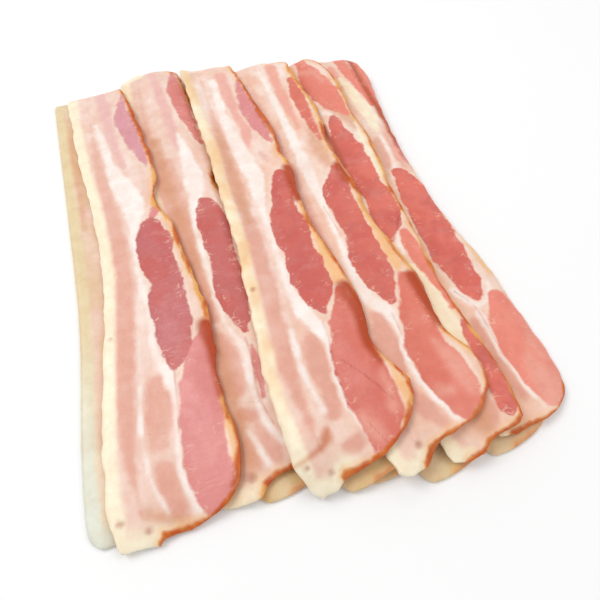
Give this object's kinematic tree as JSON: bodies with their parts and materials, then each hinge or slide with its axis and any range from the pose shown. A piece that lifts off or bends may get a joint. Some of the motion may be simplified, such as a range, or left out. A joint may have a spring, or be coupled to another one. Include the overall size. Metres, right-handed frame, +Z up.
{
  "type": "shingled bacon rashers",
  "caption": "Raw streaky bacon rashers lying overlapped in two layers, narrow at one end and wide at the other, with fat, lean streaks and a smoked rind edge.",
  "frame": {"origin": "middle of the pile's footprint, on the surface it lies on", "axes": "+Y along the rashers towards their narrow end, +Z up, X across the rashers with the rind edges towards +X"},
  "size_m": [0.1796, 0.2526, 0.0154],
  "materials": {
    "upper_rasher": "moist raw lean and fat",
    "lower_rasher": "moist raw fat and lean"
  },
  "bodies": {
    "root": {"lower_1": "lower_rasher", "lower_2": "lower_rasher", "lower_3": "lower_rasher", "lower_4": "lower_rasher", "lower_5": "lower_rasher", "lower_6": "lower_rasher", "upper_1": "upper_rasher", "upper_2": "upper_rasher", "upper_3": "upper_rasher", "upper_4": "upper_rasher", "upper_5": "upper_rasher", "upper_6": "upper_rasher"}
  },
  "joints": []
}
